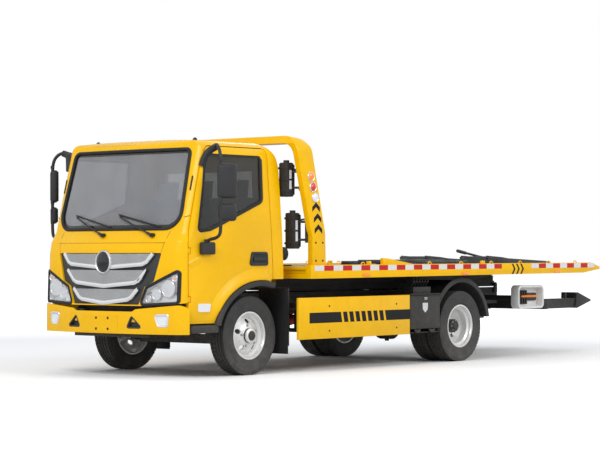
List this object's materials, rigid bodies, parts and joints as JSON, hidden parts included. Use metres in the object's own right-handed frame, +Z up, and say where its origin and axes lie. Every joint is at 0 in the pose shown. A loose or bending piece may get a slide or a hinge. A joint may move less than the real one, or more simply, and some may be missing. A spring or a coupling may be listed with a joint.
{
  "type": "flatbed tow truck",
  "caption": "Small cab-over flatbed tow truck: tilting sliding bed with winch and gantry, tilting cab, underlift forks at the tail.",
  "frame": {"origin": "centre of the footprint on the ground", "axes": "+Z up, front towards -Y, vehicle's left side towards +X"},
  "size_m": [2.616, 7.457, 2.367],
  "materials": {
    "yellow_paint": "gloss",
    "frame_black": "satin",
    "black_plastic": "matte",
    "bare_steel": "machined",
    "cast_metal": "rough cast",
    "silver_paint": "satin",
    "tyre": "matte",
    "glass": "clear",
    "lamp_lens": "clear",
    "grille_silver": "polished",
    "seat_fabric": "woven",
    "dash_plastic": "grained",
    "deck_steel": "worn",
    "white_rim": "gloss",
    "red_paint": "gloss"
  },
  "bodies": {
    "chassis": {"chassis_frame": "frame_black", "crossmembers": "frame_black", "frame_brackets": "frame_black", "bumper": "yellow_paint", "front_axle": "cast_metal", "rear_axle": "cast_metal", "power_unit": "cast_metal", "side_guards": "yellow_paint", "tool_box": "frame_black", "fuel_tank": "deck_steel", "mudguards": "black_plastic", "lamp_boxes": "white_rim", "valve_bank": "black_plastic"},
    "cab": {"cab_front": "yellow_paint", "cab_rear_wall": "yellow_paint", "cab_roof": "yellow_paint", "cab_pillars": "yellow_paint", "cab_glass": "glass", "cab_floor": "black_plastic", "arch_flares": "black_plastic", "grille": "grille_silver", "headlamps": "lamp_lens", "seats": "seat_fabric", "dashboard": "dash_plastic"},
    "steering_wheel": {"steering_wheel": "dash_plastic"},
    "door_left": {"door_left": "yellow_paint", "door_glass_left": "glass", "mirror_left": "black_plastic"},
    "door_right": {"door_right": "yellow_paint", "door_glass_right": "glass", "mirror_right": "black_plastic"},
    "knuckle_left": {"knuckle_left": "cast_metal"},
    "knuckle_right": {"knuckle_right": "cast_metal"},
    "tie_rod": {"tie_rod": "cast_metal"},
    "wheel_front_left": {"tyre_front_left": "tyre", "rim_front_left": "silver_paint"},
    "wheel_front_right": {"tyre_front_right": "tyre", "rim_front_right": "silver_paint"},
    "wheel_rear_left": {"tyre_rear_left": "tyre", "rim_rear_left": "silver_paint"},
    "wheel_rear_right": {"tyre_rear_right": "tyre", "rim_rear_right": "silver_paint"},
    "bed_frame": {"tilt_frame": "frame_black"},
    "bed": {"bed_deck": "yellow_paint", "gantry": "yellow_paint", "canisters": "black_plastic", "wheel_stops": "deck_steel", "side_wedges": "yellow_paint", "winch_frame": "frame_black"},
    "winch_drum": {"winch_drum": "bare_steel"},
    "boom": {"boom": "frame_black"},
    "stinger": {"stinger": "frame_black"},
    "crossbar": {"crossbar": "frame_black"},
    "tool_box_lid": {"tool_box_lid": "frame_black"},
    "lift_ram_barrels": {"lift_ram_barrels": "red_paint"},
    "lift_ram_rods": {"lift_ram_rods": "bare_steel"},
    "tilt_ram_barrels": {"tilt_ram_barrels": "red_paint"},
    "tilt_ram_rods": {"tilt_ram_rods": "bare_steel"}
  },
  "joints": [
    {"name": "cab_tilt", "type": "hinge", "parent": "chassis", "child": "cab", "pos_m": [0, -3.6365, 0.6], "axis": [1, 0, 0], "range_deg": [0, 40]},
    {"name": "steering_turn", "type": "hinge", "parent": "cab", "child": "steering_wheel", "pos_m": [0.48, -3.1415, 1.42], "axis": [0, 0.5736, 0.8192], "range_deg": [-560, 560]},
    {"name": "door_left_swing", "type": "hinge", "parent": "cab", "child": "door_left", "pos_m": [0.928, -3.4865, 1], "axis": [0, 0, -1], "range_deg": [0, 65]},
    {"name": "door_right_swing", "type": "hinge", "parent": "cab", "child": "door_right", "pos_m": [-0.928, -3.4865, 1], "axis": [0, 0, 1], "range_deg": [0, 65]},
    {"name": "steer_left", "type": "hinge", "parent": "chassis", "child": "knuckle_left", "pos_m": [0.65, -2.5815, 0.3875], "axis": [0, 0, 1], "range_deg": [-35, 35]},
    {"name": "steer_right", "type": "hinge", "parent": "chassis", "child": "knuckle_right", "pos_m": [-0.65, -2.5815, 0.3875], "axis": [0, 0, 1], "range_deg": [-35, 35]},
    {"name": "tie_rod_shift", "type": "slide", "parent": "chassis", "child": "tie_rod", "axis": [1, 0, 0], "range_m": [-0.0865, 0.0865]},
    {"name": "wheel_front_left_spin", "type": "hinge", "parent": "knuckle_left", "child": "wheel_front_left", "pos_m": [0.8, -2.5815, 0.3875], "axis": [1, 0, 0], "continuous": true},
    {"name": "wheel_front_right_spin", "type": "hinge", "parent": "knuckle_right", "child": "wheel_front_right", "pos_m": [-0.8, -2.5815, 0.3875], "axis": [1, 0, 0], "continuous": true},
    {"name": "wheel_rear_left_spin", "type": "hinge", "parent": "chassis", "child": "wheel_rear_left", "pos_m": [0.8165, 0.7785, 0.3875], "axis": [1, 0, 0], "continuous": true},
    {"name": "wheel_rear_right_spin", "type": "hinge", "parent": "chassis", "child": "wheel_rear_right", "pos_m": [-0.8165, 0.7785, 0.3875], "axis": [1, 0, 0], "continuous": true},
    {"name": "bed_tilt", "type": "hinge", "parent": "chassis", "child": "bed_frame", "pos_m": [0, 2.3185, 0.82], "axis": [-1, 0, 0], "range_deg": [0, 14]},
    {"name": "bed_slide", "type": "slide", "parent": "bed_frame", "child": "bed", "axis": [0, 1, 0], "range_m": [0, 2.9]},
    {"name": "winch_drum_spin", "type": "hinge", "parent": "bed", "child": "winch_drum", "pos_m": [0, -1.4515, 1.19], "axis": [1, 0, 0], "continuous": true},
    {"name": "boom_lift", "type": "hinge", "parent": "chassis", "child": "boom", "pos_m": [0, 1.5185, 0.61], "axis": [-1, 0, 0], "range_deg": [0, 10]},
    {"name": "stinger_slide", "type": "slide", "parent": "boom", "child": "stinger", "axis": [0, 1, 0], "range_m": [0, 0.6]},
    {"name": "crossbar_swivel", "type": "hinge", "parent": "stinger", "child": "crossbar", "pos_m": [0, 2.6485, 0.59], "axis": [0, 0, 1], "range_deg": [-15, 15]},
    {"name": "tool_box_lid_swing", "type": "hinge", "parent": "chassis", "child": "tool_box_lid", "pos_m": [1.088, 0.0285, 0.363], "axis": [0, 1, 0], "range_deg": [0, 90]},
    {"name": "lift_ram_turn", "type": "hinge", "parent": "chassis", "child": "lift_ram_barrels", "pos_m": [0.24, 2.0385, 0.73], "axis": [-1, 0, 0], "range_deg": [-20, 20]},
    {"name": "lift_ram_stroke", "type": "slide", "parent": "lift_ram_barrels", "child": "lift_ram_rods", "axis": [0, 0.5408, -0.8412], "range_m": [-0.02, 0.101]},
    {"name": "tilt_ram_turn", "type": "hinge", "parent": "chassis", "child": "tilt_ram_barrels", "pos_m": [0.22, -1.2815, 0.46], "axis": [1, 0, 0], "range_deg": [-2, 15]},
    {"name": "tilt_ram_stroke", "type": "slide", "parent": "tilt_ram_barrels", "child": "tilt_ram_rods", "axis": [0, 0.9859, 0.1676], "range_m": [-0.02, 0.15]}
  ],
  "couplings": [
    {"joint": "steer_right", "follows": "steer_left", "ratio": 1},
    {"joint": "steering_turn", "follows": "steer_left", "ratio": 16},
    {"joint": "tie_rod_shift", "follows": "steer_left", "m_per_rad": -0.14084},
    {"joint": "lift_ram_turn", "follows": "boom_lift", "ratio": 1.3204},
    {"joint": "lift_ram_stroke", "follows": "boom_lift", "m_per_rad": 0.51924},
    {"joint": "tilt_ram_turn", "follows": "bed_tilt", "ratio": 0.71139},
    {"joint": "tilt_ram_stroke", "follows": "bed_tilt", "m_per_rad": 0.57187}
  ]
}
